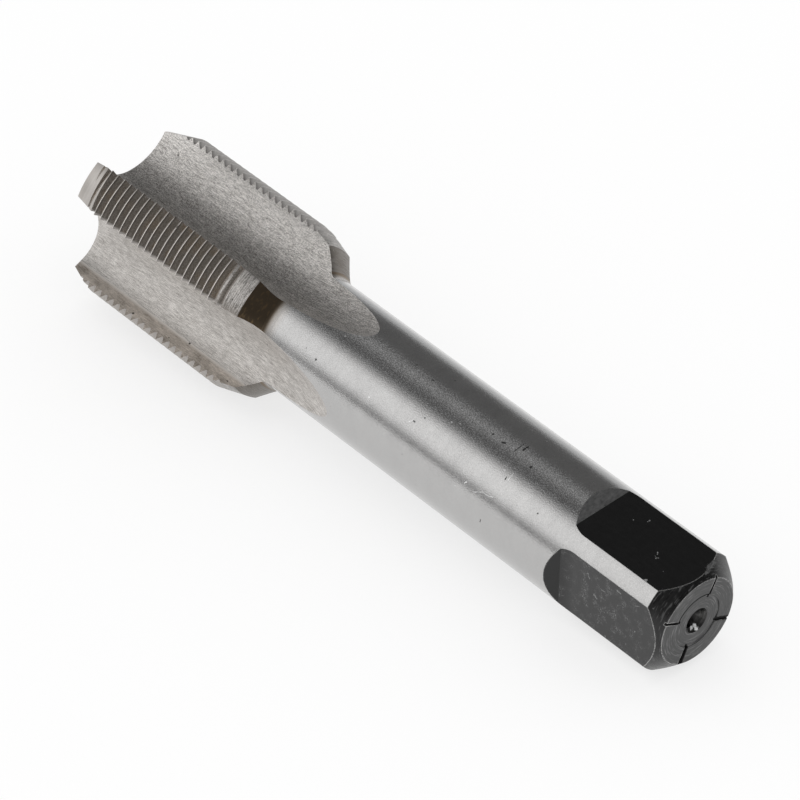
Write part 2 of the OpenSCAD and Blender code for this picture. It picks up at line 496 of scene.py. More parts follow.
class Faces:
    """The faces of a mesh, with their corners, and the surfaces that they lie on."""

    def __init__(self, mesh, known):
        self.points = read(mesh.vertices, "co", 3).astype(float)
        self.corners = read(mesh.loops, "vertex_index", 1, np.int32)
        self.starts = read(mesh.polygons, "loop_start", 1, np.int32)
        self.sizes = read(mesh.polygons, "loop_total", 1, np.int32)
        self.normals = read(mesh.polygons, "normal", 3).astype(float)
        self.centres = read(mesh.polygons, "center", 3).astype(float)
        self.count = len(self.starts)
        self.known = known
        self.surface = self.match()

    def match(self):
        """The number of the surface that each face lies on, or -1."""
        best = np.full(self.count, np.inf)
        chosen = np.full(self.count, -1)
        for number, (_, gap) in enumerate(self.known):
            off = np.maximum.reduceat(np.abs(gap(*self.points.T))[self.corners], self.starts)
            off = np.maximum(off, np.abs(gap(*self.centres.T)))
            near = np.flatnonzero(off < NEAR)
            facing = np.abs(np.sum(slopes(gap, self.centres[near]) * self.normals[near], axis=1))
            score = off[near] + MISALIGNED * (1 - facing)
            better = score < best[near]
            best[near[better]] = score[better]
            chosen[near[better]] = number
        return chosen

    def finish_slots(self, names):
        """The place in names of each face's finish, which is the mark's on no known surface."""
        slots = np.full(self.count, names.index("mark"), np.int32)
        for number, (finish, _) in enumerate(self.known):
            slots[self.surface == number] = names.index(finish)
        return slots

    def corner_normals(self):
        """The exact normal at each corner of its face's surface, or else the face's own."""
        face = np.repeat(np.arange(self.count), self.sizes)
        normals = self.normals[face]
        for number, (_, gap) in enumerate(self.known):
            mine = np.flatnonzero(self.surface[face] == number)
            exact = slopes(gap, self.points[self.corners[mine]])
            exact *= np.sign(np.sum(exact * normals[mine], axis=1, keepdims=True))
            normals[mine] = exact
        return normals


def dress(body, finishes):
    """Gives each face the finish of the surface it lies on, and each corner that surface's exact normal."""
    mesh = body.data
    faces = Faces(mesh, surfaces())
    mesh.materials.clear()
    for make in finishes.values():
        mesh.materials.append(make())
    mesh.polygons.foreach_set("material_index", faces.finish_slots(list(finishes)))
    mesh.polygons.foreach_set("use_smooth", np.ones(faces.count, bool))
    mesh.normals_split_custom_set(faces.corner_normals())
    mesh.transform(Matrix.Scale(MM, 4))


def node(tree, kind, inputs=None, **settings):
    """A node with its settings, and its inputs by name or number, each a value or a socket to link."""
    made = tree.nodes.new("ShaderNode" + kind)
    for name, value in settings.items():
        setattr(made, name, value)
    for key, value in (inputs or {}).items():
        if isinstance(value, bpy.types.NodeSocket):
            tree.links.new(value, made.inputs[key])
        else:
            made.inputs[key].default_value = value
    return made


def math_node(tree, operation, a, b=0.0, clamp=False):
    """What a Math node makes of two values or sockets."""
    return node(tree, "Math", {0: a, 1: b}, operation=operation, use_clamp=clamp).outputs[0]


def grey(level, warmth=0.0):
    """A grey of a level from 0 to 1, turned towards brown by its warmth."""
    return (level * (1 + warmth), level, level * (1 - warmth), 1.0)


# Noise rarely leaves this range
NOISE_LOW = 0.3
NOISE_HIGH = 0.7
NOISE_ROUGHNESS = 0.6
# How far out towards its middle a land begins and is full, in millimetres
LAND_FROM = 0.7 * SHANK_R
LAND_FULL = 0.8 * SHANK_R
# Where a speck begins, and where a mark begins and is full, as shares of the radius
SPECK_RIM = 1.6
MARK_RIM = 1.3
MARK_FULL = 0.6
# How fine a mark's ragged outline is, in waves to the millimetre
RAGGED_SCALE = 4.0
# What keeps a missing speck's radius above zero, as a share of its cell
NO_SPECK = 1e-3
# Rays that find a corner
EDGE_SAMPLES = 4


class Finish:
    """A material in layers: a ground of two tones mixed by grains, and what covers it here and there.

    A tone is (level, warmth), and a roughness is (low, high). A grain is (weight, run, width, length) and
    may end in a detail. Its width and length are in millimetres, and it runs "around" the axis, "along"
    it, in "rings" about it on an end face, or along the path of the grinding "wheel" in a flute.
    """

    def __init__(self, name, tones, rough, grains, relief=0.0, metallic=1.0, brushed=0.0):
        self.material = bpy.data.materials.new(name)
        self.material.use_nodes = True
        self.tree = self.material.node_tree
        self.shader = self.tree.nodes["Principled BSDF"]
        place = self.add("TexCoord").outputs["Object"]
        self.place = self.vector("SCALE", place, scale=1 / MM)
        self.metallic = metallic
        if brushed:
            self.shader.inputs["Anisotropic"].default_value = brushed
            around = self.add("Tangent", direction_type="RADIAL", axis="X")
            self.tree.links.new(around.outputs[0], self.shader.inputs["Tangent"])
        tone = self.blended(grains)
        self.colour = self.mixed(grey(*tones[0]), grey(*tones[1]), tone)
        self.rough = self.spread(tone, 0, 1, *rough)
        self.height = self.math("MULTIPLY", tone, relief)

    def add(self, kind, inputs=None, **settings):
        return node(self.tree, kind, inputs, **settings)

    def math(self, operation, a, b=0.0, clamp=False):
        return math_node(self.tree, operation, a, b, clamp)

    def vector(self, operation, a, b=None, scale=None):
        inputs = {0: a}
        if b is not None:
            inputs[1] = b
        if scale is not None:
            inputs[3] = scale
        made = self.add("VectorMath", inputs, operation=operation)
        return made.outputs["Value" if operation in ("LENGTH", "DISTANCE", "DOT_PRODUCT") else "Vector"]

    def spread(self, value, low, high, to_low=0.0, to_high=1.0):
        """Maps a value from one range to another, and holds it there."""
        return self.add("MapRange", {0: value, 1: low, 2: high, 3: to_low, 4: to_high}).outputs[0]

    def mixed(self, a, b, share):
        """Two colours mixed, by a share of the second."""
        return self.add("Mix", {0: share, 6: a, 7: b}, data_type="RGBA").outputs[2]

    def blend(self, a, b, share):
        """Two values mixed, by a share of the second."""
        return self.add("Mix", {0: share, 2: a, 3: b}).outputs[0]

    def parts(self):
        """The place's X, Y and Z in millimetres."""
        return self.add("SeparateXYZ", {0: self.place}).outputs

    def radius(self):
        """The distance from the axis in millimetres."""
        return self.vector("LENGTH", self.vector("MULTIPLY", self.place, (0, 1, 1)))

    def turn(self):
        """The angle about the axis in degrees, counted anew from the middle of each flute."""
        return self.math("FLOORED_MODULO", self.around(), TURN)

    def around(self):
        """The angle about the axis in degrees, from +Y towards +Z."""
        parts = self.parts()
        return self.math("MULTIPLY", self.math("ARCTAN2", parts[2], parts[1]), 180 / math.pi)

    def between(self, value, low, high, soft):
        """1 where a value lies between two limits, with soft ends beyond them."""
        above = self.spread(value, low - soft, low)
        return self.math("MULTIPLY", above, self.spread(value, high + soft, high))

    def land(self, angle):
        """1 on the land whose middle is at an angle, and 0 on the others."""
        middle = math.radians(angle)
        out = self.vector("DOT_PRODUCT", self.place, (0, math.cos(middle), math.sin(middle)))
        return self.spread(out, LAND_FROM, LAND_FULL)

    def ground_path(self):
        """Places in the flutes, in which the grinding wheel's path is straight."""
        along, side, up = self.parts()
        outward = self.math("MAXIMUM", self.math("ABSOLUTE", side), self.math("ABSOLUTE", up))
        across = self.math("DIVIDE", self.math("MULTIPLY", side, up), outward)
        back = self.math("MINIMUM", self.math("SUBTRACT", along, WHEEL_X), 0.0)
        below = self.math("SUBTRACT", outward, WHEEL_V)
        from_wheel = self.add("CombineXYZ", {0: back, 1: below}).outputs[0]
        bent = self.math("SUBTRACT", WHEEL_V, self.vector("LENGTH", from_wheel))
        return self.add("CombineXYZ", {0: along, 1: across, 2: bent}).outputs[0]

    def grain(self, run, width, length, detail=1.5):
        """Noise from 0 to 1, of a width and a length in millimetres, that runs one way."""
        across, along = 1 / width, 1 / length
        if run == "rings":
            parts = self.parts()
            steps = [self.math("MULTIPLY", self.radius(), across)]
            steps += [self.math("MULTIPLY", parts[i], along) for i in (1, 2)]
            point = self.add("CombineXYZ", dict(enumerate(steps))).outputs[0]
        else:
            scale = (across, along, along) if run == "around" else (along, across, across)
            point = self.vector("MULTIPLY", self.ground_path() if run == "wheel" else self.place, scale)
        inputs = {"Vector": point, "Scale": 1.0, "Detail": detail, "Roughness": NOISE_ROUGHNESS}
        noise = self.add("TexNoise", inputs)
        return self.spread(noise.outputs[0], NOISE_LOW, NOISE_HIGH)

    def blended(self, grains):
        """Grains whose weights add up to 1, as one pattern from 0 to 1."""
        total = None
        for weight, *grain in grains:
            part = self.math("MULTIPLY", self.grain(*grain), weight)
            total = part if total is None else self.math("ADD", total, part)
        return total

    def cover(self, share, tone, rough, metallic=None, times=None):
        """Lays another tone and roughness over what is there, by a share or by two multiplied."""
        if times is not None:
            share = self.math("MULTIPLY", share, times)
        self.colour = self.mixed(self.colour, grey(*tone), share)
        self.rough = self.blend(self.rough, rough, share)
        if metallic is not None:
            self.metallic = self.blend(self.metallic, metallic, share)
        return share

    def dent(self, share, depth):
        """Sinks the surface by a share of a depth in millimetres."""
        self.height = self.math("SUBTRACT", self.height, self.math("MULTIPLY", share, depth))

    def worn_edge(self, radius, start, full):
        """Where the surface turns a corner within a radius in millimetres, broken up by grain."""
        rounded = self.add("Bevel", {"Radius": radius * MM}, samples=EDGE_SAMPLES).outputs[0]
        flat = self.add("NewGeometry").outputs["Normal"]
        off = self.math("SUBTRACT", 1.0, self.vector("DOT_PRODUCT", rounded, flat))
        edge = self.spread(off, start, full)
        broken = self.spread(self.grain("around", 0.5, 0.5), 0.5, 1.0)
        return self.math("MULTIPLY", edge, self.math("SUBTRACT", 1.0, broken))

    def specks(self, spacing, size, share):
        """Small round spots of up to a size, one in a cell of the spacing, in a share of the cells."""
        cells = self.add("TexVoronoi", {"Vector": self.place, "Scale": 1 / spacing})
        luck = self.add("SeparateColor", {0: cells.outputs["Color"]}).outputs[0]
        radius = self.spread(luck, 1 - share, 1, 0, size / spacing)
        rim = self.math("MULTIPLY", radius, SPECK_RIM)
        inside = self.math("SUBTRACT", rim, cells.outputs["Distance"])
        return self.math("DIVIDE", inside, self.math("ADD", radius, NO_SPECK), clamp=True)

    def marks(self, strokes, ragged=0.12):
        """Scratches and pits with ragged outlines, each a (start, end, radius)."""
        noise = self.add("TexNoise", {"Vector": self.place, "Scale": RAGGED_SCALE, "Detail": 2.0})
        centred = self.vector("SUBTRACT", noise.outputs["Color"], (0.5, 0.5, 0.5))
        shift = self.vector("SCALE", centred, scale=2 * ragged)
        place = self.vector("ADD", self.place, shift)
        found = None
        for start, end, radius in strokes:
            line = Vector(end) - Vector(start)
            offset = self.vector("SUBTRACT", place, start)
            if line.length > 0:
                travel = self.vector("DOT_PRODUCT", offset, line / line.length_squared)
                nearest = self.vector("SCALE", line, scale=self.spread(travel, 0, 1))
                distance = self.vector("DISTANCE", offset, nearest)
            else:
                distance = self.vector("LENGTH", offset)
            inside = self.spread(distance, radius * MARK_RIM, radius * MARK_FULL)
            found = inside if found is None else self.math("MAXIMUM", found, inside)
        return found

    def done(self):
        """Joins the layers to the shader and gives the material."""
        layers = {"Base Color": self.colour, "Roughness": self.rough, "Metallic": self.metallic}
        for socket, value in layers.items():
            if isinstance(value, bpy.types.NodeSocket):
                self.tree.links.new(value, self.shader.inputs[socket])
            else:
                self.shader.inputs[socket].default_value = value
        bump = self.add("Bump", {"Distance": MM, "Height": self.height})
        self.tree.links.new(bump.outputs[0], self.shader.inputs["Normal"])
        return self.material


def pits(points, radius):
    """Round marks of one radius."""
    return [(point, point, radius) for point in points]


# Marks on the one in the photograph, each a (start, end, radius) in millimetres
SHANK_DENTS = [
    ((36.5, 2.6, 9.7), (36.5, 0.2, 10.0), 0.08),
    ((35.7, 1.3, 9.9), (35.7, 0.3, 10.0), 0.15),
    ((39.1, 2.3, 9.7), (38.7, 2.1, 9.8), 0.15),
    ((34.4, 5.8, 8.1), (34.4, 6.1, 7.9), 0.1),
    ((35.4, 9.9, 1.4), (35.4, 10.0, 1.0), 0.1),
    ((53.4, 7.0, 7.2), (53.0, 6.9, 7.2), 0.1),
    *pits([(32.5, 2.8, 9.6)], 0.26),
    *pits([(55.9, 0.7, 10.0), (41.3, 2.1, 9.8), (74.2, 7.9, 6.2)], 0.19),
    *pits([(53.7, -1.8, 9.8), (37.9, -3.3, 9.4), (26.5, 7.0, 7.1)], 0.13),
    *pits([(52.0, 5.9, 8.1), (60.0, 0.2, 10.0)], 0.13),
]
SHANK_GLINTS = [
    ((38.1, 8.9, 4.5), (36.6, 8.5, 5.3), 0.05),
    ((36.6, 8.5, 5.3), (35.4, 8.5, 5.3), 0.045),
    ((35.4, 8.5, 5.3), (34.6, 8.3, 5.6), 0.05),
    ((33.9, 4.9, 8.7), (33.9, 6.0, 8.0), 0.06),
    ((40.2, 8.8, 4.8), (39.9, 8.6, 5.1), 0.1),
    ((53.5, 6.9, 7.2), (54.0, 7.3, 6.8), 0.06),
    *pits([(47.9, 4.3, 9.0), (46.6, 3.8, 9.3), (35.4, 5.3, 8.5), (72.5, 3.4, 9.4), (62.3, 7.7, 6.4)], 0.13),
]
FACE_PITS = [
    *pits([(100.4, 10.7, -6.0), (112.3, 12.2, -6.7)], 0.2),
    *pits([(90.2, 11.8, -6.5), (104.0, 11.9, -6.5)], 0.13),
]
THREAD_NICKS = pits([(110.6, -8.6, 12.3), (105.9, 8.1, 12.6), (107.4, 7.2, 13.1)], 0.25)
FLAT_NICKS = [
    ((14.0, -3.1, 8.0), (13.9, -3.5, 8.0), 0.09),
    ((8.4, 0.25, 8.0), (8.1, 0.7, 8.0), 0.08),
    ((7.7, 1.5, 8.0), (7.5, 1.1, 8.0), 0.09),
    ((5.4, 5.7, 8.0), (5.3, 6.2, 8.0), 0.22),
    ((14.8, 8.0, 4.0), (14.4, 8.0, 3.3), 0.09),
    ((8.8, 8.0, 4.9), (8.1, 8.0, 4.85), 0.14),
    ((5.1, 8.0, 4.5), (4.3, 8.0, 5.0), 0.08),
    ((13.3, 8.0, 0.8), (12.7, 8.0, 0.5), 0.12),
    ((11.8, 8.0, 2.9), (11.2, 8.0, 2.9), 0.09),
    *pits([(8.0, 1.2, 8.0), (15.6, -1.8, 8.0), (5.1, 2.5, 8.0)], 0.08),
    *pits([(13.0, 8.0, -0.3), (11.8, 8.0, 0.6), (11.1, 8.0, -1.1), (10.1, 8.0, 0.0), (12.2, 8.0, -4.1)], 0.1),
    *pits([(4.8, 8.0, -0.4), (10.6, 8.0, -5.6), (6.4, 8.0, -4.1), (9.1, 8.0, 0.6), (6.6, 8.0, 7.2)], 0.13),
]
CORNER_RUBS = [
    ((0.6, -1.6, 8.0), (0.9, -2.4, 8.0), 0.2),
    ((1.2, -2.9, 8.0), (1.5, -4.2, 8.0), 0.4),
]
# Painted shade beside two of the driver's marks on the end face
DRIVER_MARK_SHADE = [
    ((0.0, -3.9, -2.05), (0.0, -7.1, -3.7), 0.35),
    ((0.0, 3.0, -6.6), (0.0, 1.9, -4.1), 0.35),
]
BORE_GLINTS = [
    ((0.7, 0.5, -1.8), (0.9, 0.1, -1.7), 0.2),
    ((0.5, -0.3, -1.9), (0.85, -0.45, -1.7), 0.25),
    ((0.3, -0.1, -2.05), (0.4, -0.5, -2.0), 0.2),
]
# The middle of the near flat's scuffs, and how far from it they thin out, in millimetres
SCUFFED = (11.5, HALF_SQUARE, -0.3)
SCUFF_FADE = (3.0, 6.5)
# Strips along the shank as (from, to, softness), in degrees from +Y towards +Z
CALM_STRIP = (-20, 16, 8)
PEBBLED_STRIP = (66, 86, 7)
# The last strip is a band of painted shade
PAINTED_SHADE_STRIP = (116, 123, 9)
# The tone of steel whose black finish has worn off
BARE = (0.6, 0.01)


def ground():
    """The ground shank, with a strip of coarser grain on top and the photograph's dents."""
    made = Finish("ground_steel", ((0.38, 0.01), (0.57, 0.01)), (0.13, 0.19), [
        (0.6, "around", 0.1, 0.13, 0.5),
        (0.15, "around", 0.5, 0.9),
        (0.25, "around", 2.5, 5.0),
    ])
    made.cover(made.between(made.around(), *CALM_STRIP), (0.48, 0.01), 0.16, times=0.7)
    made.cover(made.spread(made.parts()[0], FILLET_X - 1.2, FILLET_X, 0.0, 0.5), (0.36, 0.08), 0.2)
    made.dent(made.math("SUBTRACT", made.grain("around", 0.15, 0.17, 0.5), 0.5), 0.007)
    pebbles = made.grain("around", 0.13, 0.15, 0.5)
    zone = made.between(made.around(), *PEBBLED_STRIP)
    made.cover(zone, (0.76, 0.0), 0.2, times=made.spread(pebbles, 0.5, 0.9))
    made.cover(zone, (0.31, 0.0), 0.2, times=made.spread(pebbles, 0.5, 0.1))
    # Painted shade: a dark band along the shank
    made.cover(made.between(made.around(), *PAINTED_SHADE_STRIP), (0.3, 0.0), 0.2)
    made.dent(made.cover(made.specks(1.6, 0.1, 0.3), (0.25, 0.0), 0.5), 0.01)
    made.cover(made.specks(1.9, 0.08, 0.3), (0.8, 0.0), 0.5)
    made.dent(made.cover(made.marks(SHANK_DENTS, ragged=0.2), (0.08, 0.0), 0.5), 0.01)
    made.cover(made.marks(SHANK_GLINTS), (0.85, 0.0), 0.4)
    return made.done()


def crest():
    """The thread's crests."""
    made = Finish("crest_steel", ((0.47, 0.02), (0.84, 0.02)), (0.25, 0.4), [
        (1.0, "around", 0.5, 1.5),
    ])
    made.cover(made.land(LAND_MID), (0.72, 0.05), 0.35)
    made.cover(made.marks(THREAD_NICKS, ragged=0.2), (0.1, 0.1), 0.5)
    return made.done()


def thread():
    """The thread's grooves, brown and grimy with painted shade on the land that the camera sees best, with
    painted light on the land below it and painted shade at every land's heel edge.
    """
    made = Finish("thread_steel", ((0.3, 0.05), (0.5, 0.03)), (0.42, 0.55), [
        (0.4, "around", 0.2, 0.4),
        (0.2, "around", 0.25, 4.0),
        (0.4, "around", 4.0, 5.0),
    ], relief=0.006, metallic=0.75)
    # Painted light: a paler tone on the land below the one that the camera sees best
    made.cover(made.land(LAND_MID - TURN), (0.5, 0.06), 0.45, times=0.7)
    middle = made.land(LAND_MID)
    # Brown tint with painted shade on the land that the camera sees best
    made.cover(middle, (0.2, 0.16), 0.5, times=0.7)
    patch = made.spread(made.grain("around", 2.5, 3.5), 0.5, 0.9, 0.0, 0.5)
    made.cover(middle, (0.28, 0.3), 0.5, times=patch)
    grime = made.spread(made.grain("around", 0.15, 0.2, 0.0), 0.4, 0.9, 0.0, 0.5)
    made.cover(middle, (0.45, 0.08), 0.5, times=grime)
    smut = made.spread(made.grain("around", 0.13, 0.15, 0.0), 0.5, 0.1, 0.0, 0.4)
    made.cover(middle, (0.08, 0.15), 0.55, times=smut)
    # Painted shade on the flanks just below the crests of that land
    rim = made.spread(made.radius(), THREAD_R - 0.4, THREAD_R - 0.15, 0.0, 0.6)
    made.cover(middle, (0.07, 0.15), 0.6, times=rim)
    # Painted shade in the notches at each land's heel edge
    heel_notch_shade = made.spread(made.turn(), LAND_HEEL + 3.5, LAND_HEEL + 1, 0.0, 0.45)
    made.cover(heel_notch_shade, (0.06, 0.1), 0.6, metallic=0.3)
    # Painted light over that land's heel notches, which makes them look smaller
    heel_notch_light = made.spread(made.turn(), LAND_HEEL + 2.0, LAND_HEEL + 1.1, 0.0, 0.8)
    made.cover(middle, (0.5, 0.05), 0.45, metallic=1.0, times=heel_notch_light)
    return made.done()


def turned_cone():
    """The bevel behind the thread, with fine turning lines."""
    made = Finish("turned_steel", ((0.04, 0.08), (0.62, 0.05)), (0.3, 0.45), [
        (0.45, "around", 0.12, 3.0, 0.0),
        (0.4, "around", 0.1, 0.2, 0.0),
        (0.15, "around", 0.8, 2.0),
    ], relief=0.008)
    streaks = made.grain("around", 0.1, 0.8, 0.0)
    made.cover(made.spread(streaks, 0.6, 0.9, 0.0, 0.15), (0.85, 0.03), 0.35)
    made.cover(made.spread(streaks, 0.4, 0.1, 0.0, 0.25), (0.04, 0.1), 0.45)
    # Darker and browner towards the heel edge on the land that the camera sees best
    darker_toward_heel = made.spread(made.turn(), LAND_HEEL + 8, LAND_HEEL, 0.0, 0.5)
    made.cover(made.land(LAND_MID), (0.2, 0.15), 0.45, times=darker_toward_heel)
    return made.done()


def lead():
    """The lead cone at the tip."""
    return Finish("lead_steel", ((0.4, 0.07), (0.56, 0.05)), (0.3, 0.4), [
        (0.5, "around", 0.3, 7.0),
        (0.5, "around", 2.0, 4.0),
    ], relief=0.004).done()


def flute_wall():
    """The flutes' round walls, ground lengthwise, with the most contrast in the upper one, which has a
    painted highlight towards its heel and painted shade in its throat.
    """
    made = Finish("brushed_flute", ((0.18, 0.08), (0.96, 0.03)), (0.37, 0.48), [
        (0.45, "wheel", 0.1, 1.3, 0.0),
        (0.4, "wheel", 0.09, 0.16, 0.0),
        (0.15, "wheel", 1.5, 3.0),
    ], relief=0.01, brushed=0.8)
    upper = made.spread(made.parts()[2], 2, 6)
    # Painted highlight on the upper flute's outer heel side
    made.cover(upper, (0.95, 0.03), 0.4, times=made.spread(made.radius(), 11.5, 14.0, 0.0, 0.4))
    made.cover(made.spread(upper, 1.0, 0.0, 0.0, 0.3), (0.46, 0.08), 0.43)
    # Painted shade in the upper flute's throat
    made.cover(upper, (0.05, 0.1), 0.5, times=made.spread(made.radius(), 8.4, 7.0, 0.0, 0.42))
    scratches = made.grain("wheel", 0.09, 1.2, 0.0)
    made.cover(upper, (0.95, 0.04), 0.4, times=made.spread(scratches, 0.7, 1.0, 0.0, 0.4))
    made.cover(upper, (0.2, 0.08), 0.5, times=made.spread(scratches, 0.3, 0.0, 0.0, 0.4))
    fine = made.grain("wheel", 0.11, 0.25, 0.0)
    made.cover(upper, (0.98, 0.04), 0.4, times=made.spread(fine, 0.55, 0.95, 0.0, 0.42))
    made.cover(upper, (0.15, 0.08), 0.5, times=made.spread(fine, 0.45, 0.05, 0.0, 0.42))
    made.cover(made.specks(2.4, 0.16, 0.2), (0.2, 0.05), 0.6)
    return made.done()


def cutting():
    """The flutes' straight faces, which are browner than the rest of them."""
    made = Finish("ground_cutting_face", ((0.18, 0.16), (0.72, 0.1)), (0.4, 0.55), [
        (0.35, "along", 0.15, 1.1),
        (0.25, "along", 0.25, 0.25),
        (0.4, "along", 1.5, 4.0),
    ], relief=0.01, brushed=0.4)
    seam = math.hypot(FACE_U, FACE_V)
    made.cover(made.spread(made.radius(), seam + 0.5, seam + 0.1), (0.66, 0.06), 0.45)
    made.cover(made.marks(FACE_PITS, ragged=0.2), (0.05, 0.1), 0.6)
    return made.done()


def shoulder():
    """The cone behind the head, brownest on the land that the camera sees best, with painted shade towards
    that land's heel edge.
    """
    made = Finish("brown_shoulder", ((0.1, 0.16), (0.22, 0.08)), (0.22, 0.34), [
        (0.5, "around", 0.3, 2.5),
        (0.5, "around", 2.0, 3.0),
    ], relief=0.004)
    middle = made.land(LAND_MID)
    made.cover(middle, (0.12, 0.32), 0.3)
    # Painted shade, deeper towards that land's heel edge
    low = made.spread(made.turn(), LAND_MID, LAND_HEEL, 0.0, 0.55)
    made.cover(middle, (0.04, 0.32), 0.3, times=low)
    streaks = made.spread(made.grain("around", 0.3, 1.0), 0.6, 1.0, 0.0, 0.6)
    made.cover(middle, (0.18, 0.45), 0.4, times=streaks)
    made.cover(made.specks(1.6, 0.12, 0.15), (0.9, 0.05), 0.4)
    return made.done()


def fillet():
    """The hollow between shank and shoulder, which turns brown on its way up."""
    made = Finish("shoulder_fillet", ((0.3, 0.05), (0.43, 0.03)), (0.18, 0.3), [
        (0.5, "around", 0.2, 0.3),
        (0.5, "around", 0.4, 2.0),
    ], relief=0.006)
    made.cover(made.spread(made.radius(), SHANK_R, SHANK_R + 0.35), (0.13, 0.3), 0.3)
    return made.done()


def oxide(name, tones, rough, grains, relief=0.002, gloss=0.5, worn=None):
    """A black finish, which the corners have lost where worn says so, or else all of them."""
    made = Finish(name, tones, rough, grains, relief=relief, metallic=0.0)
    made.shader.inputs["Specular IOR Level"].default_value = gloss
    where = worn(made) if worn else None
    made.cover(made.worn_edge(0.22, 0.01, 0.05), BARE, 0.4, metallic=1.0, times=where)
    made.cover(made.marks(CORNER_RUBS, ragged=0.5), (0.07, 0.0), 0.6)
    return made


def flat():
    """The square's flats, glossy black, and scuffed except on top."""
    made = oxide("black_flat", ((0.0, 0.0), (0.002, 0.0)), (0.14, 0.24), [
        (0.4, "along", 0.4, 5.0),
        (0.6, "around", 1.0, 1.0),
    ], gloss=0.57, worn=lambda made: made.spread(made.parts()[0], FLAT_RISE_X - 0.2, FLAT_RISE_X - 0.6))
    below_top = made.spread(made.parts()[2], HALF_SQUARE - 0.1, HALF_SQUARE - 0.5)
    fine = made.spread(made.grain("around", 0.13, 0.15, 0.5), 0.5, 1.0)
    patch = made.spread(made.grain("around", 1.6, 1.6), 0.45, 0.85)
    scuffs = made.math("MULTIPLY", below_top, made.math("MULTIPLY", fine, patch))
    away = made.vector("DISTANCE", made.place, SCUFFED)
    scuffs = made.math("MULTIPLY", scuffs, made.spread(away, *SCUFF_FADE, 1.0, 0.45))
    made.cover(scuffs, (0.18, 0.0), 0.5)
    made.cover(made.marks(FLAT_NICKS, ragged=0.3), (0.2, 0.0), 0.45)
    return made.done()


def runout_face():
    """The slopes at the flats' ends, scuffed on top."""
    made = oxide("black_runout", ((0.001, 0.0), (0.006, 0.0)), (0.3, 0.45), [
        (0.6, "around", 0.3, 2.0),
        (0.4, "around", 0.6, 0.6),
    ], relief=0.01, worn=lambda made: made.spread(made.parts()[0], SQUARE_LEN + 0.6, SQUARE_LEN + 1))
    upper = made.spread(made.parts()[2], HALF_SQUARE - 0.4, HALF_SQUARE)
    scuffs = made.blended([
        (0.5, "around", 0.15, 0.7),
        (0.2, "around", 0.15, 0.15),
        (0.3, "around", 0.6, 0.9),
    ])
    made.cover(upper, (0.1, 0.0), 0.6, times=made.spread(scuffs, 0.1, 0.9, 0.35, 0.85))
    return made.done()


def chamfer():
    """The cone round the square's end."""
    made = oxide("black_chamfer", ((0.0, 0.0), (0.008, 0.0)), (0.22, 0.4), [
        (0.7, "around", 0.25, 5.0),
        (0.3, "around", 0.5, 0.5),
    ], relief=0.01)
    scratches = made.spread(made.grain("around", 0.12, 1.2, 0.0), 0.8, 1.0, 0.0, 0.4)
    made.cover(scratches, (0.12, 0.0), 0.5)
    made.cover(made.specks(1.0, 0.1, 0.4), (0.4, 0.0), 0.5)
    return made.done()


def turned_end():
    """The square's end face, with turning rings, painted light on its recess's wall, and a line of painted
    shade round the recess on one side.
    """
    made = oxide("black_end", ((0.0, 0.0), (0.045, 0.0)), (0.3, 0.42), [
        (0.7, "rings", 0.19, 5.0),
        (0.3, "around", 0.25, 0.25),
    ], relief=0.015, worn=lambda made: made.spread(made.radius(), RECESS_R + 0.6, RECESS_R + 1.6))
    lines = made.spread(made.grain("rings", 0.15, 2.5), 0.64, 0.95)
    made.cover(lines, (0.15, 0.0), 0.5)
    # Painted light: a paler tone on the recess's wall
    made.cover(made.between(made.radius(), RECESS_R, RECESS_R, 0.03), (0.09, 0.0), 0.6)
    # Painted shade: a dark line round the recess, on one side only
    ring = made.between(made.radius(), RECESS_R + 0.05, RECESS_R + 0.15, 0.1)
    shade_side = made.between(made.around(), MARK_TURN, MARK_TURN + TURN, 4)
    made.cover(ring, (0.015, 0.0), 0.9, metallic=1.0, times=shade_side)
    # Painted shade beside two of the driver's marks
    made.cover(made.marks(DRIVER_MARK_SHADE, ragged=0.2), (0.015, 0.0), 0.9, metallic=1.0)
    return made.done()


def mark():
    """The driver's marks, and what lies on no known surface."""
    return Finish("black_mark", ((0.0, 0.0), (0.006, 0.0)), (0.4, 0.6), [
        (1.0, "around", 0.5, 0.5),
    ], relief=0.004, metallic=0.0).done()


def bore():
    """The centre holes."""
    made = Finish("drilled_bore", ((0.01, 0.02), (0.12, 0.02)), (0.2, 0.35), [
        (0.6, "around", 0.4, 3.0),
        (0.4, "around", 0.8, 0.8),
    ], relief=0.01)
    made.cover(made.marks(BORE_GLINTS, ragged=0.35), (0.8, 0.0), 0.4, metallic=0.2)
    return made.done()


def tip_face():
    """The end face at the tip, with turning rings."""
    return Finish("turned_tip", ((0.3, 0.05), (0.66, 0.05)), (0.3, 0.45), [
        (0.7, "rings", 0.45, 9.0),
        (0.3, "around", 2.0, 2.0),
    ], relief=0.01).done()


FINISHES = {
    "ground": ground,
    "crest": crest,
    "thread": thread,
    "turned": turned_cone,
    "lead": lead,
    "flute": flute_wall,
    "cutting": cutting,
    "shoulder": shoulder,
    "fillet": fillet,
    "flat": flat,
    "runout": runout_face,
    "chamfer": chamfer,
    "end": turned_end,
    "mark": mark,
    "bore": bore,
    "tip": tip_face,
}


# The studio's light panels, in degrees about the tap's axis from +Y towards +Z
PANELS = [
    # centre, half width, softness, strength
    (38.0, 26.0, 16.0, 1.08),
    (106.0, 10.0, 12.0, 0.22),
    (190.0, 6.0, 22.0, 0.5),
]
# How bright the room is beside the panels
STUDIO_DARK = 0.155
# The panels end towards the square end: their light fades out over this range of the direction's X
PANEL_FADE = (-0.7, -0.05)
# How bright the world is below the horizon, how pale the floor is, and how far it is lit from behind
GROUND_GLOW = 0.9
FLOOR_LEVEL = 0.985
FLOOR_WHITE = 0.7
# The length of the floor's sides, in metres
FLOOR_SIZE = 8.0


